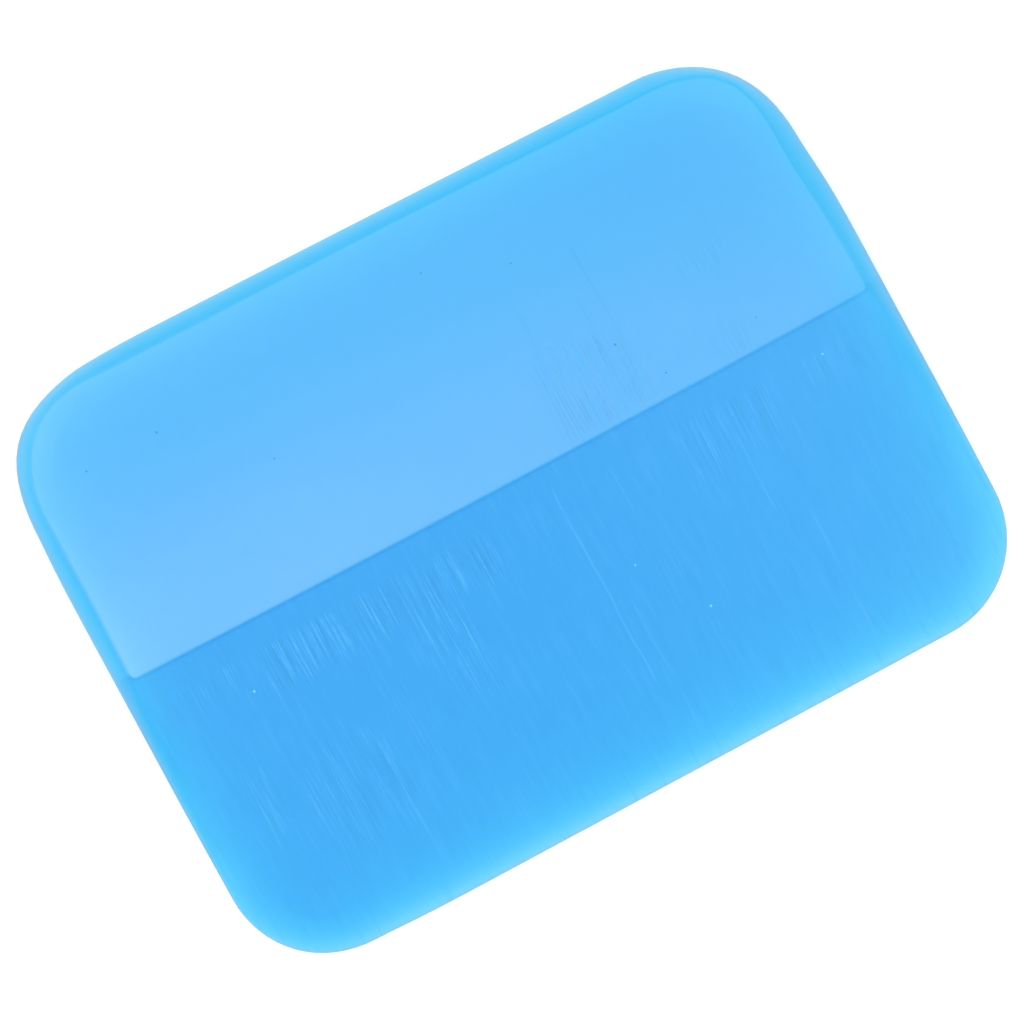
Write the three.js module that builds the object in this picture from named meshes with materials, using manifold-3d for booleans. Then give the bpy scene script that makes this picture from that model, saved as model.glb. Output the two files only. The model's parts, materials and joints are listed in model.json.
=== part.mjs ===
// A soft squeegee applicator: one translucent polyurethane moulding, 120 x 90 mm in plan.
// Its back part is a thick flat grip. In front of a straight crease it tapers to a thin working lip.
// The moulding is a single piece. It is divided here only where it bends in use, so that a rigid-body
// model can flex it: the grip slab, the stiff root of the blade, the web that bends, and the lip.
//
// Units are millimetres. X runs along the lip, +Y points to the grip's back edge, +Z is up.
// The origin is the middle of the flat underside.

import * as THREE from "three";
import { mergeVertices } from "three/addons/utils/BufferGeometryUtils.js";
import Module from "manifold-3d";

// Driving dimensions of the moulding.
const LENGTH = 120;
const WIDTH = 90;
const THICKNESS = 8;
const LIP_THICKNESS = 2;
const GRIP_DEPTH = 42.3; // from the back edge to the crease
const BACK_CORNER_RADIUS = 17.3;
const LIP_CORNER_RADIUS = 14.6;
const UNDER_EDGE_RADIUS = 0.7;
// The wall stands upright to the parting height, then curves in as a quarter of an ellipse. The grip's
// face cuts the ellipse short of its top, 2.9 mm in from the outline, which leaves the face a clear edge.
const PARTING_HEIGHT = 1;
const SHOULDER_RISE = 7.6;
const SHOULDER_INSET = 4.75;

// Where the blade bends. The axis is where a tip load makes most of the taper's rotation.
const FLEX_AXIS_Y = -24;
const WEB_WIDTH = 8;

const ARC_SEGMENTS = 10; // per half of a corner's quarter turn
const UNDER_EDGE_SEGMENTS = 4;
const SHOULDER_SEGMENTS = 8;
const CLEAR = 5; // how far the cutting shapes reach past the moulding
const HAIR = 0.02;

const BACK_Y = WIDTH / 2;
const LIP_Y = -WIDTH / 2;
const CREASE_Y = BACK_Y - GRIP_DEPTH;
const TAPER = (THICKNESS - LIP_THICKNESS) / (CREASE_Y - LIP_Y);

// The top face's height at a place on the taper.
function taperHeight(y) {
  return THICKNESS - TAPER * (CREASE_Y - y);
}

const wasm = await Module();
wasm.setup();

function solidFrom(geometry) {
  const bare = geometry.clone();
  bare.deleteAttribute("normal");
  bare.deleteAttribute("uv");
  const merged = mergeVertices(bare, 1e-4);
  const triVerts = new Uint32Array(merged.index.array);
  const vertProperties = merged.attributes.position.array;
  return new wasm.Manifold(new wasm.Mesh({ numProp: 3, vertProperties, triVerts }));
}

function geometryFrom(solid) {
  const mesh = solid.getMesh();
  const geometry = new THREE.BufferGeometry();
  geometry.setAttribute("position", new THREE.BufferAttribute(mesh.vertProperties, 3));
  geometry.setIndex(new THREE.BufferAttribute(mesh.triVerts, 1));
  geometry.computeVertexNormals();
  return geometry;
}

// The plan of the moulding, a rectangle with larger corners at the back, all drawn in by an inset.
function planShape(inset) {
  const x = LENGTH / 2 - inset;
  const back = BACK_Y - inset;
  const front = LIP_Y + inset;
  const backRadius = BACK_CORNER_RADIUS - inset;
  const lipRadius = LIP_CORNER_RADIUS - inset;
  const quarter = Math.PI / 2;
  const shape = new THREE.Shape();
  shape.absarc(x - lipRadius, front + lipRadius, lipRadius, -quarter, 0);
  shape.absarc(x - backRadius, back - backRadius, backRadius, 0, quarter);
  shape.absarc(-x + backRadius, back - backRadius, backRadius, quarter, 2 * quarter);
  shape.absarc(-x + lipRadius, front + lipRadius, lipRadius, 2 * quarter, 3 * quarter);
  shape.closePath();
  return shape;
}

// The slab with its curved wall, from well below the underside to a little above the grip's face.
function shoulderedSlab() {
  const uprightDepth = PARTING_HEIGHT + CLEAR;
  const geometry = new THREE.ExtrudeGeometry(planShape(SHOULDER_INSET), {
    depth: uprightDepth,
    bevelThickness: SHOULDER_RISE,
    bevelSize: SHOULDER_INSET,
    bevelSegments: SHOULDER_SEGMENTS,
    curveSegments: ARC_SEGMENTS,
  });
  geometry.translate(0, 0, PARTING_HEIGHT - uprightDepth);
  return solidFrom(geometry);
}

// Everything above the underside, rounded in at the lower edge. Above that edge it stands a hair outside
// the slab, so that the two don't share a wall.
function roundedUnderside() {
  const geometry = new THREE.ExtrudeGeometry(planShape(UNDER_EDGE_RADIUS - HAIR), {
    depth: THICKNESS + CLEAR,
    bevelThickness: UNDER_EDGE_RADIUS,
    bevelSize: UNDER_EDGE_RADIUS,
    bevelSegments: UNDER_EDGE_SEGMENTS,
    curveSegments: ARC_SEGMENTS,
  });
  geometry.translate(0, 0, UNDER_EDGE_RADIUS);
  return solidFrom(geometry);
}

// A prism along X from its outline in Y and Z, wider than the moulding.
function prismAcross(outline) {
  const shape = new THREE.Shape(outline.map(([y, z]) => new THREE.Vector2(y, z)));
  const geometry = new THREE.ExtrudeGeometry(shape, {
    depth: LENGTH + 2 * CLEAR,
    bevelEnabled: false,
  });
  const yAxis = new THREE.Vector3(0, 1, 0);
  const zAxis = new THREE.Vector3(0, 0, 1);
  const xAxis = new THREE.Vector3(1, 0, 0);
  geometry.applyMatrix4(new THREE.Matrix4().makeBasis(yAxis, zAxis, xAxis));
  geometry.translate(-LENGTH / 2 - CLEAR, 0, 0);
  return solidFrom(geometry);
}

// What is taken off above the grip's face and, in front of the crease, above the taper.
function aboveTop() {
  const back = BACK_Y + CLEAR;
  const front = LIP_Y - CLEAR;
  const top = THICKNESS + CLEAR;
  return prismAcross([
    [back, THICKNESS],
    [back, top],
    [front, top],
    [front, taperHeight(front)],
    [CREASE_Y, THICKNESS],
  ]);
}

function moulding() {
  return shoulderedSlab().intersect(roundedUnderside()).subtract(aboveTop());
}

// The part of the moulding between two places along Y.
function zone(whole, fromY, toY) {
  const slice = prismAcross([
    [fromY, -CLEAR],
    [toY, -CLEAR],
    [toY, THICKNESS + CLEAR],
    [fromY, THICKNESS + CLEAR],
  ]);
  return geometryFrom(whole.intersect(slice));
}

// Tinted, milky polyurethane with a satin surface.
function polyurethane(colour) {
  return new THREE.MeshStandardMaterial({ color: colour, roughness: 0.38, metalness: 0 });
}

function namedMesh(name, geometry, colour) {
  const mesh = new THREE.Mesh(geometry, polyurethane(colour));
  mesh.name = name;
  return mesh;
}

const GRIP_BLUE = 0x5fb8fd;
const BLADE_BLUE = 0x48aef8;
const LIP_BLUE = 0x55bffb;

const whole = moulding();
const webBack = FLEX_AXIS_Y + WEB_WIDTH / 2;
const webFront = FLEX_AXIS_Y - WEB_WIDTH / 2;

const squeegee = new THREE.Group();
squeegee.add(namedMesh("grip_slab", zone(whole, CREASE_Y, BACK_Y + CLEAR), GRIP_BLUE));
squeegee.add(namedMesh("blade_root", zone(whole, webBack, CREASE_Y), BLADE_BLUE));
squeegee.add(namedMesh("flex_web", zone(whole, webFront, webBack), BLADE_BLUE));

// The lip turns about an axis at half the taper's height, so it hangs from a group placed there.
const flexAxis = new THREE.Group();
flexAxis.position.set(0, FLEX_AXIS_Y, taperHeight(FLEX_AXIS_Y) / 2);
const lip = namedMesh("working_lip", zone(whole, LIP_Y - CLEAR, webFront), LIP_BLUE);
lip.position.copy(flexAxis.position).negate();
flexAxis.add(lip);
squeegee.add(flexAxis);

export default squeegee;
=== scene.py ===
import json
import math
import random

import bpy
import numpy as np
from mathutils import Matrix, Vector


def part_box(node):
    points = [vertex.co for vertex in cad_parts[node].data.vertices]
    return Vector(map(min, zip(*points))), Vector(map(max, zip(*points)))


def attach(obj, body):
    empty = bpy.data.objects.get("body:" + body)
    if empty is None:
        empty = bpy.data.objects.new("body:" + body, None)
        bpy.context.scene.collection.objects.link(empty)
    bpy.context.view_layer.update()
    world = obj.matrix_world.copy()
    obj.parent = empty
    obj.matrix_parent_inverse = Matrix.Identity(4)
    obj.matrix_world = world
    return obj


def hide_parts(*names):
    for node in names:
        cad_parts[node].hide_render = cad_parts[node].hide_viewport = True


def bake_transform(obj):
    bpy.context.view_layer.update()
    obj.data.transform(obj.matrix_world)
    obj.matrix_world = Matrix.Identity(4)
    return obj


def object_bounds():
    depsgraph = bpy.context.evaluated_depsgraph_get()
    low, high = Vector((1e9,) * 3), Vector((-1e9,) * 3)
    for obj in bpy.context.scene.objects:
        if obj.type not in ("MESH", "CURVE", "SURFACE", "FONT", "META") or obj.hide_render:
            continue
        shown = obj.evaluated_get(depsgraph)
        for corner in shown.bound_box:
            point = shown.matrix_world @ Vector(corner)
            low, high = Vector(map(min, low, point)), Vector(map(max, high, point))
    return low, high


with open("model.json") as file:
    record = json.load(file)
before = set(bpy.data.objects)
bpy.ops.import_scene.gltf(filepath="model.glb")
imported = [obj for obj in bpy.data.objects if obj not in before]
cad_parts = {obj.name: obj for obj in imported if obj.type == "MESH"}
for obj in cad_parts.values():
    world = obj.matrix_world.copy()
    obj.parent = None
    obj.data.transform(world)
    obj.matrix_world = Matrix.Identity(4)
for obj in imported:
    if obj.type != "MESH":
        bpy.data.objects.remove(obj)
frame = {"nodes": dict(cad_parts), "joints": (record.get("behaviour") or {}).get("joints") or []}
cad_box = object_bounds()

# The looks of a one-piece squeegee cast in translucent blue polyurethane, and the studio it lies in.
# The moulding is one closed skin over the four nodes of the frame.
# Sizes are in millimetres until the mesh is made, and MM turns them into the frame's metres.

MM = 0.001

# --- Sizes that the frame gives -------------------------------------------------------------------
JOINT = frame["joints"][0]
LIP_BODY = JOINT["child"]

HALF_LENGTH = cad_box[1].x / MM
BACK_Y = cad_box[1].y / MM
LIP_Y = cad_box[0].y / MM
THICKNESS = cad_box[1].z / MM
CREASE_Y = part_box("grip_slab")[0].y / MM
ROOT_FRONT_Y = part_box("blade_root")[0].y / MM
ROOT_FRONT_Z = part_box("flex_web")[1].z / MM
TAPER = (THICKNESS - ROOT_FRONT_Z) / (CREASE_Y - ROOT_FRONT_Y)

# --- Sizes of the moulding's finer shape ----------------------------------------------------------
BACK_CORNER_RADIUS = 17.3
LIP_CORNER_RADIUS = 14.6
UNDER_EDGE_RADIUS = 0.7

# The wall stands upright at the parting, then curves in as a quarter of an ellipse. The grip's face cuts
# the ellipse short at FACE_INSET. Beyond that the wall only matters to the rounding of the edge, and it
# carries on along its tangent.
PARTING_Z = 1.0
SHOULDER_RISE = 7.6
SHOULDER_INSET = 4.75
FACE_SHARE = (THICKNESS - PARTING_Z) / SHOULDER_RISE
FACE_INSET = SHOULDER_INSET * (1.0 - math.sqrt(1.0 - FACE_SHARE**2))
TANGENT_SLOPE = SHOULDER_RISE / SHOULDER_INSET * math.sqrt(1.0 - FACE_SHARE**2) / FACE_SHARE

# How far, in height, the edge between face and wall is rounded.
GRIP_EDGE_BLEND = 0.18
BLADE_EDGE_BLEND = 3.2
BLADE_EDGE_RUN = 13.0  # how far in front of the crease the blade's edge is fully rounded
LARGEST_BLEND_SHARE = 0.85  # of the wall's height, so that some upright wall is always left

STEP = 0.10  # the grip's face stands this much proud of the taper
STEP_RUN = 0.55
CREASE_BLEND = 0.05
CREASE_BOW = 0.45  # the crease's ends sit this much further back than its middle
CREASE_BOW_REACH = 9.0
CREASE_CORNER_RADIUS = 0.8  # where the crease meets the edge of the grip's face
CREASE_CORNER_REACH = 1.3

# The piece is trimmed by hand, so its outline is a little out of square.
BACK_TRIM = 0.45
BACK_TRIM_SLOPE = 0.0165
LIP_TRIM = 0.22
LIP_TRIM_SLOPE = 0.0043
SIDE_SKEW = 0.0071
LEFT_BOW = 0.18
RIGHT_BOW = 0.21
SIDE_BOW_REACH = 31.0

# Its corners are uneven too, and the wall is narrower round the back ones. Each row is a place (x, y),
# how far the outline moves out there, how far the edge of the top face moves out, and how far it reaches.
HAND_WORK = (
    (60.0, 29.0, -0.72, -0.87, 8.0),
    (58.0, 21.0, 0.0, -0.45, 8.0),
    (52.7, 39.0, 0.24, 1.20, 6.5),
    (-51.5, 39.6, 0.0, 0.60, 7.0),
    (-56.0, 38.6, 0.35, 0.10, 6.0),
    (-46.9, 44.5, -0.50, 0.0, 7.0),
    (-60.0, 30.0, -0.33, 0.0, 7.0),
    (-58.0, 15.0, 0.0, -0.25, 12.0),
    (0.0, 42.0, 0.0, 0.22, 28.0),
    (-47.0, -45.0, -0.35, -0.35, 8.0),
)
CORNER_TURN_POWER = 7  # how sharply the outward direction turns round a corner
TINY = 1e-9  # keeps a length from being zero in the middle of the piece


def smoothstep(low, high, value):
    t = np.clip((value - low) / (high - low), 0.0, 1.0)
    return t * t * (3.0 - 2.0 * t)


def smooth_min(a, b, blend):
    """The lower of two heights, with the corner between them rounded over a blend."""
    return np.minimum(a, b) - np.maximum(blend - np.abs(a - b), 0.0) ** 2 / (4.0 * blend)


def face_height(y):
    """The top face away from its edges: flat on the grip, then a small step down, then the taper."""
    riser = STEP * smoothstep(CREASE_Y - STEP_RUN, CREASE_Y, y)
    taper = THICKNESS - STEP + riser - TAPER * (CREASE_Y - y)
    return smooth_min(np.full_like(y, THICKNESS), taper, CREASE_BLEND)


def edge_blend(y):
    """The rounding between face and wall: tight on the grip, soft on the blade, limited by its height."""
    share = smoothstep(CREASE_Y, CREASE_Y - BLADE_EDGE_RUN, y)
    blend = GRIP_EDGE_BLEND + (BLADE_EDGE_BLEND - GRIP_EDGE_BLEND) * share
    return np.minimum(blend, LARGEST_BLEND_SHARE * (face_height(y) - PARTING_Z))


def wall_height(inset):
    curved_inset = np.minimum(inset, FACE_INSET)
    curved = SHOULDER_RISE * np.sqrt(1.0 - (1.0 - curved_inset / SHOULDER_INSET) ** 2)
    return PARTING_Z + curved + TANGENT_SLOPE * (inset - curved_inset)


def wall_inset(height):
    """The inset at which the wall reaches a height: the inverse of wall_height."""
    curved_height = np.minimum(height, THICKNESS)
    share = (curved_height - PARTING_Z) / SHOULDER_RISE
    return SHOULDER_INSET * (1.0 - np.sqrt(1.0 - share**2)) + (height - curved_height) / TANGENT_SLOPE


def top_height(y, inset):
    return smooth_min(face_height(y), wall_height(inset), edge_blend(y))


def corner_draw(inset):
    """How far back the crease is drawn near its ends, so that the face's corners there are round."""
    along = np.clip((inset - FACE_INSET) / CREASE_CORNER_RADIUS, 0.0, 1.0)
    return CREASE_CORNER_RADIUS * (1.0 - np.sqrt(along * (2.0 - along)))


def hand_work(x, y, inset):
    """How far a point is moved in x and in y where the piece was worked by hand."""
    out_x = (x / HALF_LENGTH) ** CORNER_TURN_POWER
    out_y = (y / BACK_Y) ** CORNER_TURN_POWER
    length = np.hypot(out_x, out_y) + TINY
    at_face = smoothstep(0.0, FACE_INSET, inset)
    fading = 1.0 - smoothstep(FACE_INSET, GRID_INSET, inset)
    moved = np.zeros_like(x)
    for place_x, place_y, outline, face_edge, reach in HAND_WORK:
        near = np.exp(-((x - place_x) ** 2 + (y - place_y) ** 2) / reach**2)
        moved += near * fading * (outline * (1.0 - at_face) + face_edge * at_face)
    return moved * out_x / length, moved * out_y / length


def trimmed(x, y, inset):
    """Where a point of the true rectangle's plan lies on the hand-trimmed piece."""
    from_crease = y - CREASE_Y
    bow = CREASE_BOW * (x / HALF_LENGTH) ** 2 * np.exp(-((from_crease / CREASE_BOW_REACH) ** 2))
    corner = corner_draw(inset) * np.exp(-((from_crease / CREASE_CORNER_REACH) ** 2))
    back = smoothstep(CREASE_Y, BACK_Y, y) * (BACK_TRIM + BACK_TRIM_SLOPE * x)
    front = smoothstep(CREASE_Y, LIP_Y, y) * (LIP_TRIM + LIP_TRIM_SLOPE * x)
    bow_depth = np.where(x > 0, RIGHT_BOW, LEFT_BOW)
    side_bow = bow_depth * (x / HALF_LENGTH) * np.exp(-((y / SIDE_BOW_REACH) ** 4))
    hand_x, hand_y = hand_work(x, y, inset)
    return x - SIDE_SKEW * y + side_bow + hand_x, y + bow + corner - back + front + hand_y


# --- The skin's mesh ------------------------------------------------------------------------------
COLUMNS = 96
CORNER_ROWS = 16
GRID_INSET = 6.0  # inside this, the skin is a plain grid; outside it, rings follow the outline
ROW_SPACING = 1.1
WALL_RINGS = 7
EDGE_RINGS = 10
FACE_RING_SHARES = (0.12, 0.28, 0.48, 0.72)
UNDER_RING_SHARES = (0.7, 0.4, 0.2)
UNDER_EDGE_RINGS = 6

# The rows lie closer at the crease. These are offsets from it.
ROWS_IN_FRONT = (-1.6, -1.0, -0.6)
ROWS_DOWN_STEP = 6
ROWS_BEHIND = (0.08, 0.2, 0.5, 1.0)
GRIP_ROWS_START = 1.8
ROW_BEND_POWER = 4  # how late a row bends from its level in the middle to that at the sides


def spaced(low, high, spacing):
    """Values from low up to but not including high, about spacing apart."""
    count = max(1, round((high - low) / spacing))
    return list(low + (high - low) * np.arange(count) / count)


def row_levels():
    """The grid's rows from the lip to the back: (level along the sides, level along the middle)."""
    lip_centre = LIP_Y + LIP_CORNER_RADIUS
    back_centre = BACK_Y - BACK_CORNER_RADIUS
    lip_radius = LIP_CORNER_RADIUS - GRID_INSET
    back_radius = BACK_CORNER_RADIUS - GRID_INSET
    levels = []
    for i in range(CORNER_ROWS):
        share = i / CORNER_ROWS
        angle = (1.0 - share) * math.pi / 2
        side = lip_centre - lip_radius * math.sin(angle)
        levels.append((side, lip_centre - lip_radius * (1.0 - share)))
    straight = spaced(lip_centre, CREASE_Y + ROWS_IN_FRONT[0], ROW_SPACING)
    straight += [CREASE_Y + offset for offset in ROWS_IN_FRONT]
    straight += [CREASE_Y - STEP_RUN * (1.0 - i / ROWS_DOWN_STEP) for i in range(ROWS_DOWN_STEP + 1)]
    straight += [CREASE_Y + offset for offset in ROWS_BEHIND]
    straight += spaced(CREASE_Y + GRIP_ROWS_START, back_centre, ROW_SPACING)
    levels += [(y, y) for y in straight]
    for i in range(CORNER_ROWS + 1):
        share = i / CORNER_ROWS
        angle = share * math.pi / 2
        levels.append((back_centre + back_radius * math.sin(angle), back_centre + back_radius * share))
    return levels


def grid_half_width(y):
    """Half the grid's width at a level along its sides."""
    lip_centre = LIP_Y + LIP_CORNER_RADIUS
    back_centre = BACK_Y - BACK_CORNER_RADIUS
    if y < lip_centre:
        radius, offset = LIP_CORNER_RADIUS, lip_centre - y
    elif y > back_centre:
        radius, offset = BACK_CORNER_RADIUS, y - back_centre
    else:
        return HALF_LENGTH - GRID_INSET
    inner = radius - GRID_INSET
    return HALF_LENGTH - radius + math.sqrt(max(inner**2 - offset**2, 0.0))


def grid_plan():
    """Plan positions of the grid's points, as rows x columns arrays of x and of y."""
    levels = row_levels()
    across = np.linspace(-1.0, 1.0, COLUMNS + 1)
    xs = np.array([across * grid_half_width(side) for side, _ in levels])
    ys = np.array([middle + (side - middle) * across**ROW_BEND_POWER for side, middle in levels])
    return xs, ys


def boundary(rows):
    """The grid's boundary points in order, as (row, column), counter-clockwise from the lip's left."""
    last_row = rows - 1
    path = [(0, c) for c in range(COLUMNS)]
    path += [(r, COLUMNS) for r in range(last_row)]
    path += [(last_row, c) for c in range(COLUMNS, 0, -1)]
    path += [(r, 0) for r in range(last_row, 0, -1)]
    return path


def outward_normals(x, y):
    """The outline's outward direction at points of the grid's boundary."""
    lip_centre = LIP_Y + LIP_CORNER_RADIUS
    back_centre = BACK_Y - BACK_CORNER_RADIUS
    radius = np.where(y < 0, LIP_CORNER_RADIUS, BACK_CORNER_RADIUS)
    away_x = np.sign(x) * np.maximum(np.abs(x) - (HALF_LENGTH - radius), 0.0)
    away_y = np.where(y < lip_centre, y - lip_centre, np.maximum(y - back_centre, 0.0))
    length = np.hypot(away_x, away_y)
    return away_x / length, away_y / length


def ring_insets(y):
    """Each ring's inset from the widest outline: up the wall, round the edge, then in to the grid."""
    face = face_height(y)
    blend = edge_blend(y)
    lean = np.arcsin((face - blend - PARTING_Z) / SHOULDER_RISE)
    heights = [PARTING_Z + SHOULDER_RISE * np.sin(lean * i / WALL_RINGS) for i in range(WALL_RINGS)]
    heights += [face + blend * (2.0 * i / EDGE_RINGS - 1.0) for i in range(EDGE_RINGS + 1)]
    insets = [wall_inset(height) for height in heights]
    last = insets[-1]
    insets += [last + (GRID_INSET - last) * share for share in FACE_RING_SHARES]
    return insets


def under_rings():
    """Rings from the flat underside out to the parting, as (inset, height)."""
    rings = [(GRID_INSET * share, 0.0) for share in UNDER_RING_SHARES]
    for i in range(UNDER_EDGE_RINGS + 1):
        angle = i / UNDER_EDGE_RINGS * math.pi / 2
        inset = UNDER_EDGE_RADIUS * (1.0 - math.sin(angle))
        rings.append((inset, UNDER_EDGE_RADIUS * (1.0 - math.cos(angle))))
    return rings


def build_skin():
    """One closed mesh of underside grid, rings and top grid, as points, insets and quads."""
    grid_x, grid_y = grid_plan()
    rows = grid_x.shape[0]
    path = boundary(rows)
    edge_x = np.array([grid_x[r, c] for r, c in path])
    edge_y = np.array([grid_y[r, c] for r, c in path])
    out_x, out_y = outward_normals(edge_x, edge_y)
    outline_y = edge_y + out_y * GRID_INSET

    xs, ys, zs, insets = [], [], [], []

    def add(x, y, z, inset):
        start = sum(len(part) for part in xs)
        xs.append(x)
        ys.append(y)
        zs.append(z)
        insets.append(inset)
        return start + np.arange(len(x))

    def add_ring(inset, height):
        inset = np.broadcast_to(inset, edge_x.shape)
        step_out = GRID_INSET - inset
        x = edge_x + out_x * step_out
        y = edge_y + out_y * step_out
        z = np.full_like(x, height) if height is not None else top_height(y, inset)
        return add(x, y, z, inset)

    def add_grid(top):
        x, y = grid_x.ravel(), grid_y.ravel()
        inset = np.minimum(HALF_LENGTH - np.abs(x), np.minimum(BACK_Y - y, y - LIP_Y))
        inset = np.maximum(inset, GRID_INSET)
        z = top_height(y, inset) if top else np.zeros_like(x)
        return add(x, y, z, inset).reshape(grid_x.shape)

    bottom = add_grid(False)
    rings = [np.array([bottom[r, c] for r, c in path])]
    rings += [add_ring(inset, height) for inset, height in under_rings()]
    rings += [add_ring(inset, None) for inset in ring_insets(outline_y)]
    top = add_grid(True)
    rings.append(np.array([top[r, c] for r, c in path]))

    quads = []
    for lower, upper in zip(rings[:-1], rings[1:]):
        quads.append(np.stack([lower, np.roll(lower, -1), np.roll(upper, -1), upper], axis=1))
    for grid, turn in ((top, 1), (bottom, -1)):
        cells = np.stack([grid[:-1, :-1], grid[:-1, 1:], grid[1:, 1:], grid[1:, :-1]], axis=-1)
        quads.append(cells.reshape(-1, 4)[:, ::turn])
    points = np.stack([np.concatenate(part) for part in (xs, ys, zs)], axis=1)
    return points, np.concatenate(insets), np.concatenate(quads)


def make_skin():
    """The skin object, trimmed in plan. The material works from each point's untrimmed place."""
    points, insets, quads = build_skin()
    mesh = bpy.data.meshes.new("squeegee_moulding")
    placed = points.copy()
    placed[:, 0], placed[:, 1] = trimmed(points[:, 0], points[:, 1], insets)
    mesh.from_pydata((placed * MM).tolist(), [], quads.tolist())
    mesh.update()
    mesh.shade_smooth()
    place = mesh.attributes.new("place_mm", "FLOAT_VECTOR", "POINT")
    place.data.foreach_set("vector", points.astype(np.float32).ravel())
    inset = mesh.attributes.new("inset_mm", "FLOAT", "POINT")
    inset.data.foreach_set("value", insets.astype(np.float32))
    skin = bpy.data.objects.new("squeegee_moulding", mesh)
    bpy.context.scene.collection.objects.link(skin)
    return skin


# --- Material -------------------------------------------------------------------------------------
BLADE_BLUE = (0.025, 0.366, 0.832)
GRIP_BLUE = (0.024, 0.400, 0.830)
WALL_BLUE = (0.095, 0.580, 1.000)
DEEP_CYAN = (0.045, 0.740, 0.990)
PALE_CYAN = (0.300, 0.850, 1.000)
EDGE_GREY = (0.320, 0.420, 0.500)
GLANCE_BLUE = (0.130, 0.300, 0.500)
# Partly the marks' own whitening and partly painted glints.
MARK_AND_GLINT_BLUE = (0.115, 0.520, 1.000)
# Used for painted shade in the lines by the face's edge and the crease, and for the dark side of the
# marks.
MARK_AND_SHADE_BLUE = (0.018, 0.270, 0.620)
SPECK_BLUE = (0.004, 0.150, 0.450)
WHITE = (1.0, 1.0, 1.0)

# Light that enters the edge of the moulding comes out of its faces close by. Depths are in mm.
GLOW_DEPTH = 4.3
GLOW_AT_LIP = 0.61
GLOW_AT_GRIP = 0.42
THIN_GLOW = 0.04  # the thin end of the blade is lit through all over
RIM_DEPTH = 1.5
RIM_AT_LIP = 0.18
RIM_AT_ROOT = 0.06
RIM_ON_GRIP = 0.3  # of the blade's
RIM_AT_CORNER = 0.75  # of the rim light along the straight edges
CORNER_GLOW_REACH = 13.0
CORNER_GLOW_ON_GRIP = 0.17
CORNER_GLOW_ON_BLADE = 0.12  # at the right corner of the lip
WALL_LIGHT = 0.30
EDGE_LINE = 0.65  # along the lip the very edge of the top shows as a thin grey line, a painted contact shadow
EDGE_LINE_DEPTH = 0.40
GLANCE_LINE = 0.42  # a side wall seen at a glancing angle looks darker and shows less of the glow
GLANCE_DIM = 0.50
GLANCE_AT_BACK = 0.30  # of the line at the sides
GLANCE_BLADE_GAIN = 0.10  # the blade's low wall counts as seen more edge-on than it is

# Painted sheen: the reflection of the overhead light on the grip's moulded face is painted into its
# colour, most of all near the crease and on the left.
SHEEN_AT_CREASE = 0.063
SHEEN_AT_BACK = 0.004
SHEEN_LEFT_GAIN = 0.22
SHEEN_AT_RIGHT_END = 0.65  # of the veil elsewhere along the crease
BLADE_VEIL = 0.065
RIM_LIGHT = 0.022
RIM_LIGHT_LEFT_GAIN = 1.0
RIM_LIGHT_DEPTH = 2.5

# Where each mask goes from 0 to 1. Places, heights and insets are in mm.
TOP_HEIGHTS = (1.2, 1.8)
FACE_HEIGHTS = (THICKNESS - 0.30, THICKNESS - 0.05)
GRIP_PLACES = (CREASE_Y - 0.47, CREASE_Y + 0.27)
THIN_PLACES = (CREASE_Y - 8.0, LIP_Y)
LEFT_PLACES = (HALF_LENGTH, -HALF_LENGTH)
RIGHT_PLACES = (-10.0, HALF_LENGTH)
BACK_WALL_PLACES = (36.0, 44.0)
BESIDE_GRIP_PLACES = (CREASE_Y - 6.0, CREASE_Y + 4.0)
STRAIGHT_PLACES = (56.0, 40.0)
LIP_LINE_PLACES = (-24.0, -40.0)
SHEEN_PLACES = (CREASE_Y, BACK_Y - 6.0)
RIGHT_END_X = (48.0, 58.0)
RIGHT_END_Y = (9.0, 3.0)
WALL_LIGHT_INSETS = (0.4, 1.4)
CORNER_GLOW_INSETS = (0.8, 2.4)

# The same for how far a surface is turned from the viewer, and for how far its normal points up.
DIM_FACING = (0.50, 0.85)
DIM_NORMALS = (0.75, 0.50)
LINE_FACING = (0.70, 0.92)
LINE_NORMALS = (0.55, 0.35)

# Darker lines of painted shade by the face's edge and under the crease: where (from, to, soft edge), the
# insets over which each starts, and how strong it is.
FACE_EDGE_LINE = (FACE_INSET - 0.75, FACE_INSET - 0.25, 0.35)
FACE_EDGE_DARK = 0.04
CREASE_LINE = (CREASE_Y - 0.75, CREASE_Y - 0.25, 0.25)
CREASE_LINE_INSETS = (3.0, 7.0)
CREASE_DARK = 0.08

# Marks. They run square to the crease. Those of grinding start at this place in front of it.
GROUND_Y = CREASE_Y - 4.2
RAGGED_ENDS = 16.0

# The strip between the crease and the ground part is a little darker, in the terms of the lines above.
STRIP = (GROUND_Y, CREASE_Y - 0.4, 0.5)
STRIP_INSETS = (2.0, 8.0)
STRIP_DARK = 0.03

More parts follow.
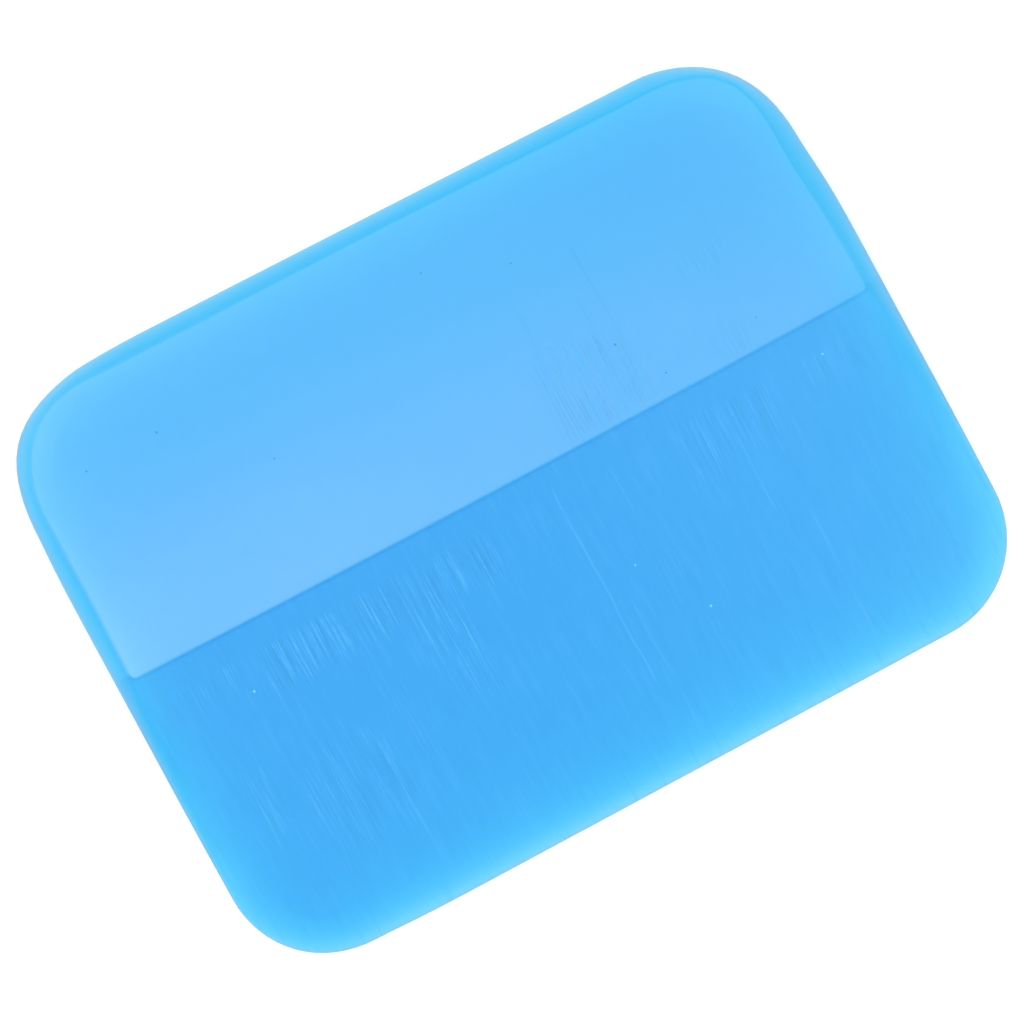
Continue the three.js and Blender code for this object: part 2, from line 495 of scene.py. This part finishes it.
# Patches of fine marks: (from x, to x, from y, to y, strength). The near ones start in one line.
NEAR_PATCHES = (
    (-53.0, -44.0, GROUND_Y, -5.0, 0.75),
    (-40.5, -20.0, GROUND_Y, -8.0, 1.00),
    (-20.0, -12.5, GROUND_Y, -13.0, 0.90),
    (-12.5, -3.5, GROUND_Y, -7.5, 0.80),
    (24.0, 38.5, GROUND_Y, -9.5, 0.65),
    (43.5, 51.0, GROUND_Y, -5.5, 0.50),
)
FAR_PATCHES = (
    (-51.0, -47.0, -16.0, -25.0, 0.60),
    (-44.0, -30.0, -18.0, -33.0, 0.50),
    (-29.0, -24.0, -13.0, -28.0, 0.25),
    (-18.0, -12.0, -14.0, -22.0, 0.45),
    (14.0, 17.5, -15.5, -21.0, 0.40),
)
GRIP_PATCHES = (
    (11.0, 25.0, CREASE_Y + 0.8, 15.0, 0.75),
    (36.0, 43.0, 16.0, 21.0, 0.45),
    (35.0, 40.0, CREASE_Y + 0.8, 8.0, 0.45),
)

# Single scratches: (x, half width, from y, to y, strength).
BLADE_SCRATCHES = (
    (6.0, 0.24, -31.0, -1.5, 0.90),
    (8.4, 0.24, -41.0, -20.0, 0.45),
    (14.5, 0.22, -9.0, -2.5, 0.45),
    (16.7, 0.20, -34.0, -27.0, 0.35),
    (31.8, 0.24, -18.0, -2.0, 0.60),
    (25.0, 0.24, -11.0, -3.0, 0.55),
    (37.9, 0.20, -11.0, -5.0, 0.35),
    (36.0, 0.38, -40.0, -21.0, 0.55),
    (-31.6, 0.26, -39.0, -20.0, 0.55),
    (-38.7, 0.22, -36.0, -18.0, 0.40),
    (-43.4, 0.22, -29.0, -23.0, 0.50),
    (-50.0, 0.24, -24.0, -16.0, 0.45),
    (-18.5, 0.24, -20.0, -2.0, 0.55),
    (-34.0, 0.30, -6.5, -2.0, 0.90),
    (-11.2, 0.26, -40.0, -34.0, 0.35),
)
GRIP_SCRATCHES = (
    (24.1, 0.30, 9.5, 28.0, 0.50),
    (13.3, 0.24, 4.5, 24.0, 0.35),
    (21.3, 0.24, 3.5, 21.0, 0.40),
    (14.7, 0.22, 4.0, 15.0, 0.35),
    (26.3, 0.22, 8.0, 12.0, 0.30),
)

# Specks lie anywhere in their area: (how many, x range, y range, radius range, seed).
DARK_SPECKS = (8, (-52.0, 52.0), (CREASE_Y + 3.0, 36.0), (0.15, 0.24), 1)
LIGHT_SPECKS = (4, (-52.0, 52.0), (-37.0, CREASE_Y - 3.0), (0.20, 0.28), 2)
SPECK_CORE = 0.4  # of a speck's radius is at full strength

# How soft the ends and sides of marks are.
SCRATCH_END_SOFT = 1.2
PATCH_SIDE_SOFT = 1.5
PATCH_START_SOFT = 0.5
PATCH_END_SOFT = 1.0

# Noises, as turns per mm along x, y and z. A level is a pair of noise values taken as 0 and 1, and a gain
# is what a mark is multiplied by at 0 and at 1.
CLOUD_TURNS = (0.035, 0.05, 0.0)
CLOUD_GAIN = (0.65, 1.35)
WANDER_TURNS = (0.05, 0.09, 0.0)
WANDER_WIDTH = 0.9
JITTER_TURNS = (1.3, 0.0, 0.0)
UNEVEN_TURNS = (0.30, 0.10, 0.0)
UNEVEN_LEVELS = (0.34, 0.56)
UNEVEN_PATCH_GAIN = (0.35, 1.0)
UNEVEN_CUT_GAIN = (0.4, 1.0)
UNEVEN_RUB_GAIN = (0.5, 1.0)
BROKEN_TURNS = (2.2, 0.8, 0.0)
BROKEN_LEVELS = (0.36, 0.60)
BROKEN_GAIN = (0.50, 1.25)
RIPPLE_TURNS = (3.6, 0.10, 0.0)
CREST_LEVELS = (0.50, 0.66)
TROUGH_LEVELS = (0.50, 0.34)
STREAK_TURNS = (1.1, 0.12, 0.0)
PALE_STREAK_LEVELS = (0.50, 0.75)
DEEP_STREAK_LEVELS = (0.50, 0.25)
FINE_TURNS = (5.0, 0.35, 0.0)
GRAIN_TURNS = (1.6, 1.6, 1.6)

# How much each kind of mark, with its painted glints and painted shade, changes the colour.
STREAK_SHARE = 0.11
DARK_MARK_AND_SHADE_SHARE = 0.40
LIGHT_MARK_AND_GLINT_SHARE = 0.50
DARK_SPECK_SHARE = 0.8
LIGHT_SPECK_SHARE = 0.6

# Surface. The marks, the fine lines and the grain add to the roughness. The bumps are in mm.
ROUGHNESS = 0.36
MARK_ROUGHNESS = 0.20
FINE_ROUGHNESS = 0.10
GRAIN_ROUGHNESS = 0.04
GRAIN_BUMP = 0.004
FINE_BUMP = 0.0015
INDEX_OF_REFRACTION = 1.5
SPECULAR_LEVEL = 0.3
SCATTER_SHARE = 0.4
SCATTER_RADIUS = (0.4, 1.0, 2.0)  # for red, green and blue


class Nodes:
    """A short way to write a node tree: each call adds nodes and returns an output."""

    def __init__(self, tree):
        self.tree = tree

    def put(self, value, socket):
        """Links a socket, or sets a plain value."""
        if isinstance(value, bpy.types.NodeSocket):
            self.tree.links.new(value, socket)
        elif socket.type == "RGBA":
            socket.default_value = (*value, 1.0)
        else:
            socket.default_value = value

    def add(self, kind, inputs=(), output=0, **settings):
        node = self.tree.nodes.new(kind)
        for name, value in settings.items():
            setattr(node, name, value)
        for key, value in dict(inputs).items():
            self.put(value, node.inputs[key])
        return node.outputs[output]

    def math(self, operation, *values):
        return self.add("ShaderNodeMath", enumerate(values), operation=operation)

    def product(self, *values):
        result = values[0]
        for value in values[1:]:
            result = self.math("MULTIPLY", result, value)
        return result

    def total(self, *values):
        result = values[0]
        for value in values[1:]:
            result = self.math("ADD", result, value)
        return result

    def between(self, share, low, high):
        """The value that lies at a share of the way from low to high."""
        return self.math("MULTIPLY_ADD", share, high - low, low)

    def ramp(self, value, low, high):
        """0 at low, 1 at high, smooth in between. low may be the larger."""
        inputs = {"Value": value, "From Min": low, "From Max": high}
        if low > high:
            inputs = {"Value": value, "From Min": high, "From Max": low, "To Min": 1.0, "To Max": 0.0}
        return self.add("ShaderNodeMapRange", inputs, interpolation_type="SMOOTHSTEP")

    def window(self, value, low, high, soft):
        """1 between low and high, falling to 0 over a soft edge."""
        rise = self.ramp(value, low - soft, low + soft)
        fall = self.ramp(value, high + soft, high - soft)
        return self.product(rise, fall)

    def decay(self, value, depth):
        """1 where the value is 0, falling off exponentially over a depth."""
        return self.math("EXPONENT", self.math("DIVIDE", value, -depth))

    def mix(self, share, a, b):
        node = self.tree.nodes.new("ShaderNodeMix")
        node.data_type = "RGBA"
        self.put(share, node.inputs["Factor"])
        for name, value in (("A", a), ("B", b)):
            colours = [socket for socket in node.inputs if socket.type == "RGBA"]
            self.put(value, next(socket for socket in colours if socket.name == name))
        return next(socket for socket in node.outputs if socket.type == "RGBA")

    def split(self, vector):
        node = self.tree.nodes.new("ShaderNodeSeparateXYZ")
        self.put(vector, node.inputs[0])
        return node.outputs

    def join(self, x, y, z):
        return self.add("ShaderNodeCombineXYZ", {0: x, 1: y, 2: z})

    def noise(self, place, stretch, detail=2.0):
        """A noise from 0 to 1 that turns over about once per 1 / stretch mm along each axis."""
        scaled = self.add("ShaderNodeVectorMath", {0: place, 1: stretch}, operation="MULTIPLY")
        return self.add("ShaderNodeTexNoise", {"Vector": scaled, "Scale": 1.0, "Detail": detail})


def scratches(n, x, y, lines):
    """Single lines along Y, soft at the ends."""
    strengths = []
    for at, half_width, low, high, strength in lines:
        across = n.ramp(n.math("ABSOLUTE", n.math("SUBTRACT", x, at)), half_width, 0.0)
        strengths.append(n.product(across, n.window(y, low, high, SCRATCH_END_SOFT), strength))
    return n.total(*strengths)


def patches(n, x, start_y, end_y, regions):
    """Regions in which fine marks show. The two measures of y let an end be straight or ragged."""
    strengths = []
    for from_x, to_x, start, end, strength in regions:
        way = math.copysign(1.0, end - start)
        sides = n.window(x, from_x, to_x, PATCH_SIDE_SOFT)
        begins = n.ramp(start_y, start - PATCH_START_SOFT * way, start + PATCH_START_SOFT * way)
        ends = n.ramp(end_y, end + PATCH_END_SOFT * way, end - PATCH_END_SOFT * way)
        strengths.append(n.product(sides, begins, ends, strength))
    return n.total(*strengths)


class Masks:
    """Where a point is on the moulding, in mm, and how far each kind of place is there, from 0 to 1."""

    def __init__(self, n):
        self.place = n.add("ShaderNodeAttribute", output="Vector", attribute_name="place_mm")
        self.inset = n.add("ShaderNodeAttribute", output="Fac", attribute_name="inset_mm")
        self.x, self.y, z = n.split(self.place)
        self.plan = n.join(self.x, self.y, 0.0)
        self.normal_z = n.split(n.add("ShaderNodeNewGeometry", output="Normal"))[2]
        self.facing = n.add("ShaderNodeLayerWeight", {"Blend": 0.5}, output="Facing")
        self.on_top = n.ramp(z, *TOP_HEIGHTS)
        self.grip = n.ramp(self.y, *GRIP_PLACES)
        self.blade = n.math("SUBTRACT", 1.0, self.grip)
        self.face = n.product(self.grip, n.ramp(z, *FACE_HEIGHTS))
        self.wall = n.product(self.grip, self.on_top, n.ramp(z, *FACE_HEIGHTS[::-1]))
        self.thin = n.ramp(self.y, *THIN_PLACES)
        self.left = n.ramp(self.x, *LEFT_PLACES)
        self.right = n.ramp(self.x, *RIGHT_PLACES)
        self.clouds = n.between(n.noise(self.place, CLOUD_TURNS, 3.0), *CLOUD_GAIN)


def marks(n, m):
    """Light and dark marks left by grinding and use, as two shares. The light share is partly the marks'
    own whitening and partly painted glints on their ridges; the dark share is painted shade in the
    troughs between the ridges, together with the rubs on the grip.
    """
    wander = n.math("SUBTRACT", n.noise(m.place, WANDER_TURNS), 0.5)
    wandering_x = n.total(m.x, n.product(wander, WANDER_WIDTH))
    jitter = n.math("SUBTRACT", n.noise(m.place, JITTER_TURNS, 1.0), 0.5)
    ragged_y = n.total(m.y, n.product(jitter, RAGGED_ENDS))
    ragged_start = n.total(m.y, n.product(jitter, -RAGGED_ENDS))
    uneven = n.ramp(n.noise(m.place, UNEVEN_TURNS), *UNEVEN_LEVELS)
    broken = n.between(n.ramp(n.noise(m.place, BROKEN_TURNS), *BROKEN_LEVELS), *BROKEN_GAIN)
    ripple = n.noise(m.place, RIPPLE_TURNS, 1.0)
    # The ripple's crests are painted glints on the ground ridges, and its troughs are painted shade.
    crests = n.ramp(ripple, *CREST_LEVELS)
    troughs = n.ramp(ripple, *TROUGH_LEVELS)
    near = patches(n, m.x, m.y, ragged_y, NEAR_PATCHES)
    far = patches(n, m.x, ragged_start, ragged_y, FAR_PATCHES)
    worked = n.total(near, far, patches(n, m.x, m.y, ragged_y, GRIP_PATCHES))
    worked = n.product(worked, n.between(uneven, *UNEVEN_PATCH_GAIN), broken)
    cuts = scratches(n, wandering_x, m.y, BLADE_SCRATCHES)
    cuts = n.product(cuts, n.between(uneven, *UNEVEN_CUT_GAIN))
    rubs = scratches(n, wandering_x, m.y, GRIP_SCRATCHES)
    rubs = n.product(rubs, n.between(uneven, *UNEVEN_RUB_GAIN))
    light = n.total(n.product(worked, crests), cuts)
    dark = n.total(n.product(worked, troughs), rubs)
    return n.product(light, m.on_top), n.product(dark, m.on_top)


def specks(n, plan, count, across, along, radii, seed):
    """A few small round specks at seeded random places."""
    draw = random.Random(seed)
    strengths = []
    for _ in range(count):
        spot = (draw.uniform(*across), draw.uniform(*along), 0.0)
        radius = draw.uniform(*radii)
        inputs = {0: plan, 1: spot}
        distance = n.add("ShaderNodeVectorMath", inputs, output="Value", operation="DISTANCE")
        strengths.append(n.ramp(distance, radius, SPECK_CORE * radius))
    return n.total(*strengths)


def corner_glow(n, m):
    """Light that comes through round the corners."""
    to_side = n.math("SUBTRACT", HALF_LENGTH, n.math("ABSOLUTE", m.x))
    to_end = n.math("SUBTRACT", BACK_Y, n.math("ABSOLUTE", m.y))
    inputs = {0: n.join(to_side, to_end, 0.0)}
    to_corner = n.add("ShaderNodeVectorMath", inputs, output="Value", operation="LENGTH")
    near_corner = n.decay(n.math("POWER", to_corner, 2.0), CORNER_GLOW_REACH**2)
    on_blade = n.product(m.blade, m.right, CORNER_GLOW_ON_BLADE)
    gain = n.total(n.product(m.grip, CORNER_GLOW_ON_GRIP), on_blade)
    return n.product(near_corner, gain, n.ramp(m.inset, *CORNER_GLOW_INSETS))


def body_colour(n, m):
    """The blue of the body, with the light that comes through at the edges and at the thin end."""
    colour = n.mix(m.grip, BLADE_BLUE, GRIP_BLUE)
    not_back = n.ramp(m.y, *BACK_WALL_PLACES[::-1])
    upright = n.ramp(m.normal_z, *DIM_NORMALS)
    dim = n.product(n.ramp(m.facing, *DIM_FACING), not_back, upright, GLANCE_DIM)
    seen = n.math("SUBTRACT", 1.0, dim)
    glow = n.product(n.decay(m.inset, GLOW_DEPTH), n.between(m.thin, GLOW_AT_GRIP, GLOW_AT_LIP), seen)
    colour = n.mix(n.total(glow, n.product(m.thin, THIN_GLOW)), colour, DEEP_CYAN)
    wall_light = n.product(m.wall, n.ramp(m.inset, *WALL_LIGHT_INSETS), WALL_LIGHT)
    colour = n.mix(wall_light, colour, WALL_BLUE)
    straight = n.between(n.ramp(n.math("ABSOLUTE", m.x), *STRAIGHT_PLACES), RIM_AT_CORNER, 1.0)
    beside_grip = n.between(n.ramp(m.y, *BESIDE_GRIP_PLACES), 1.0, RIM_ON_GRIP)
    rim_level = n.product(n.between(m.thin, RIM_AT_ROOT, RIM_AT_LIP), beside_grip)
    colour = n.mix(n.product(n.decay(m.inset, RIM_DEPTH), rim_level, straight, seen), colour, WHITE)
    veil_on_blade = n.product(m.blade, m.right, m.clouds, BLADE_VEIL)
    return n.mix(n.total(corner_glow(n, m), veil_on_blade), colour, PALE_CYAN)


def painted_face_sheen(n, m, colour):
    """The painted sheen on the grip's face, the overhead light's reflection painted into its colour, and
    the painted light that its edge catches.
    """
    # The face is painted paler where it reflects the overhead light: a painted sheen, not a milky body.
    level = n.between(n.ramp(m.y, *SHEEN_PLACES), SHEEN_AT_CREASE, SHEEN_AT_BACK)
    side_gain = n.between(m.left, 1.0 - SHEEN_LEFT_GAIN, 1.0 + SHEEN_LEFT_GAIN)
    right_end = n.product(n.ramp(m.x, *RIGHT_END_X), n.ramp(m.y, *RIGHT_END_Y))
    end_gain = n.between(right_end, 1.0, SHEEN_AT_RIGHT_END)
    painted_sheen = n.product(m.face, level, side_gain, end_gain, m.clouds)
    rim_gain = n.between(m.left, 1.0 - RIM_LIGHT_LEFT_GAIN, 1.0 + RIM_LIGHT_LEFT_GAIN)
    from_face_edge = n.math("SUBTRACT", m.inset, FACE_INSET)
    rim_light = n.product(m.face, n.decay(from_face_edge, RIM_LIGHT_DEPTH), rim_gain, RIM_LIGHT)
    return n.mix(n.total(painted_sheen, rim_light), colour, WHITE)


def edge_lines(n, m, colour):
    """Painted shade: darker lines by the face's edge and the crease, a grey contact shadow along the lip,
    and edge-on walls painted darker.
    """
    # Painted shade at the top of the wall by the face's edge, and in the crease under the step.
    outside = n.product(m.grip, n.window(m.inset, *FACE_EDGE_LINE), FACE_EDGE_DARK)
    under = n.product(n.window(m.y, *CREASE_LINE), n.ramp(m.inset, *CREASE_LINE_INSETS), CREASE_DARK)
    strip = n.product(n.window(m.y, *STRIP), n.ramp(m.inset, *STRIP_INSETS), STRIP_DARK)
    colour = n.mix(n.product(m.on_top, n.total(outside, under, strip)), colour, MARK_AND_SHADE_BLUE)
    # A painted contact shadow: a thin grey line along the outermost edge of the lip.
    outermost = n.decay(n.math("POWER", m.inset, 2.0), EDGE_LINE_DEPTH**2)
    lip_line = n.product(outermost, n.ramp(m.y, *LIP_LINE_PLACES), m.on_top, EDGE_LINE)
    colour = n.mix(lip_line, colour, EDGE_GREY)
    on_blade = n.ramp(m.y, CREASE_Y, CREASE_Y - BLADE_EDGE_RUN)
    edge_on = n.total(m.facing, n.product(on_blade, GLANCE_BLADE_GAIN))
    glancing = n.product(n.ramp(edge_on, *LINE_FACING), n.ramp(m.normal_z, *LINE_NORMALS))
    at_back = n.between(n.ramp(m.y, *BACK_WALL_PLACES), 1.0, GLANCE_AT_BACK)
    return n.mix(n.product(glancing, at_back, GLANCE_LINE), colour, GLANCE_BLUE)


def marked(n, m, colour, light, dark):
    """The colour with its marks, their painted glints and painted shade, its faint streaks and its
    specks.
    """
    streaks = n.noise(m.place, STREAK_TURNS)
    pale_streaks = n.product(m.blade, m.on_top, n.ramp(streaks, *PALE_STREAK_LEVELS), STREAK_SHARE)
    deep_streaks = n.product(m.blade, m.on_top, n.ramp(streaks, *DEEP_STREAK_LEVELS), STREAK_SHARE)
    colour = n.mix(n.total(n.product(dark, DARK_MARK_AND_SHADE_SHARE), deep_streaks), colour, MARK_AND_SHADE_BLUE)
    colour = n.mix(n.total(n.product(light, LIGHT_MARK_AND_GLINT_SHARE), pale_streaks), colour, MARK_AND_GLINT_BLUE)
    dark_specks = n.product(specks(n, m.plan, *DARK_SPECKS), m.on_top, DARK_SPECK_SHARE)
    colour = n.mix(dark_specks, colour, SPECK_BLUE)
    light_specks = n.product(specks(n, m.plan, *LIGHT_SPECKS), m.on_top, LIGHT_SPECK_SHARE)
    return n.mix(light_specks, colour, PALE_CYAN)


def surface(n, m, light):
    """Roughness and bump: the ground taper is a little rougher, and the whole is slightly uneven."""
    fine = n.noise(m.place, FINE_TURNS)
    grain = n.noise(m.place, GRAIN_TURNS, 3.0)
    on_marks = n.product(light, MARK_ROUGHNESS)
    on_blade = n.product(m.blade, fine, FINE_ROUGHNESS)
    roughness = n.total(ROUGHNESS, on_marks, on_blade, n.product(grain, GRAIN_ROUGHNESS))
    height = n.total(n.product(grain, GRAIN_BUMP), n.product(m.blade, m.on_top, fine, FINE_BUMP))
    inputs = {"Height": n.product(height, MM), "Distance": 1.0, "Strength": 1.0}
    return roughness, n.add("ShaderNodeBump", inputs)


def polyurethane():
    """Cast polyurethane: blue with a painted sheen on the grip's face, lit through at its edges, satin,
    and ground on the taper.
    """
    material = bpy.data.materials.new("polyurethane")
    material.use_nodes = True
    tree = material.node_tree
    tree.nodes.clear()
    n = Nodes(tree)
    m = Masks(n)
    light, dark = marks(n, m)
    colour = edge_lines(n, m, painted_face_sheen(n, m, body_colour(n, m)))
    roughness, bump = surface(n, m, light)

    shader = tree.nodes.new("ShaderNodeBsdfPrincipled")
    n.put(marked(n, m, colour, light, dark), shader.inputs["Base Color"])
    n.put(roughness, shader.inputs["Roughness"])
    n.put(bump, shader.inputs["Normal"])
    n.put(INDEX_OF_REFRACTION, shader.inputs["IOR"])
    n.put(SPECULAR_LEVEL, shader.inputs["Specular IOR Level"])
    n.put(SCATTER_SHARE, shader.inputs["Subsurface Weight"])
    n.put(SCATTER_RADIUS, shader.inputs["Subsurface Radius"])
    n.put(MM, shader.inputs["Subsurface Scale"])
    output = tree.nodes.new("ShaderNodeOutputMaterial")
    n.put(shader.outputs[0], output.inputs[0])
    return material


# --- Studio ---------------------------------------------------------------------------------------
CAMERA_HEIGHT = 600.0
CAMERA_PLACE = (-0.32, -1.12)
VIEW_WIDTH = 142.6
VIEW_TURN = 28.03
SENSOR = 36.0
CLIP_START = 0.01  # in metres, as CLIP_END, FLOOR_HALF and FLOOR_GAP are
CLIP_END = 20.0

SKY_LOW = 0.58
SKY_HIGH = 0.82
SKY_HIGH_FROM = 0.7  # how far up a direction points where the sky is brightest
SUN_STRENGTH = 1.05
SUN_SIZE = 22.0
SUN_PLACE = (-0.06, 0.05, 1.0)  # the direction to the middle of the soft light
FLOOR_HALF = 6.0
FLOOR_GAP = 0.00003  # keeps the floor clear of the underside
FLOOR_GREY = 0.84
FLOOR_GLOW = 0.26  # the floor is a light table, so that nothing near the object looks grey


def make_camera():
    data = bpy.data.cameras.new("camera")
    data.sensor_width = SENSOR
    data.lens = SENSOR * CAMERA_HEIGHT / VIEW_WIDTH
    data.clip_start = CLIP_START
    data.clip_end = CLIP_END
    camera = bpy.data.objects.new("camera", data)
    bpy.context.scene.collection.objects.link(camera)
    camera.rotation_euler = (0.0, 0.0, -math.radians(VIEW_TURN))
    camera.location = Vector((*CAMERA_PLACE, CAMERA_HEIGHT)) * MM
    bpy.context.scene.camera = camera


def make_floor():
    """A white floor. It lies under the grip, and sinks with the lip when the blade bends down."""
    mesh = bpy.data.meshes.new("floor")
    corners = [(-1, -1), (1, -1), (1, 1), (-1, 1)]
    points = [(FLOOR_HALF * x, FLOOR_HALF * y, -FLOOR_GAP) for x, y in corners]
    mesh.from_pydata(points, [], [(0, 1, 2, 3)])
    floor = bpy.data.objects.new("floor", mesh)
    bpy.context.scene.collection.objects.link(floor)
    material = bpy.data.materials.new("floor_white")
    material.use_nodes = True
    shader = material.node_tree.nodes["Principled BSDF"]
    shader.inputs["Base Color"].default_value = (FLOOR_GREY, FLOOR_GREY, FLOOR_GREY, 1.0)
    shader.inputs["Roughness"].default_value = 1.0
    shader.inputs["Specular IOR Level"].default_value = 0.0
    shader.inputs["Emission Color"].default_value = (1.0, 1.0, 1.0, 1.0)
    shader.inputs["Emission Strength"].default_value = FLOOR_GLOW
    mesh.materials.append(material)

    lip_foot = bpy.data.objects.new("lip_foot", None)
    bpy.context.scene.collection.objects.link(lip_foot)
    lip_foot.location = (0.0, LIP_Y * MM, 0.0)
    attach(lip_foot, LIP_BODY)
    follow = floor.constraints.new("COPY_LOCATION")
    follow.target = lip_foot
    follow.use_x = False
    follow.use_y = False
    ceiling = floor.constraints.new("LIMIT_LOCATION")
    ceiling.use_max_z = True
    ceiling.max_z = 0.0


def make_sky():
    """White to the camera, and a soft dome that is a little darker low down to everything else."""
    world = bpy.data.worlds.new("studio")
    world.use_nodes = True
    tree = world.node_tree
    tree.nodes.clear()
    n = Nodes(tree)
    up = n.split(n.add("ShaderNodeTexCoord", output="Generated"))[2]
    dome = n.between(n.ramp(up, 0.0, SKY_HIGH_FROM), SKY_LOW, SKY_HIGH)
    seen = n.add("ShaderNodeLightPath", output="Is Camera Ray")
    strength = n.total(n.product(dome, n.math("SUBTRACT", 1.0, seen)), seen)
    background = n.add("ShaderNodeBackground", {"Color": WHITE, "Strength": strength})
    output = tree.nodes.new("ShaderNodeOutputWorld")
    n.put(background, output.inputs[0])
    bpy.context.scene.world = world


def make_sun():
    """One large soft light from nearly overhead."""
    data = bpy.data.lights.new("overhead", "SUN")
    data.energy = SUN_STRENGTH
    data.angle = math.radians(SUN_SIZE)
    sun = bpy.data.objects.new("overhead", data)
    sun.rotation_euler = Vector(SUN_PLACE).to_track_quat("Z", "Y").to_euler()
    bpy.context.scene.collection.objects.link(sun)


bpy.context.scene.view_settings.view_transform = "Standard"
skin = make_skin()
skin.data.materials.append(polyurethane())
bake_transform(skin)
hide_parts(*frame["nodes"])
make_floor()
make_sky()
make_sun()
make_camera()
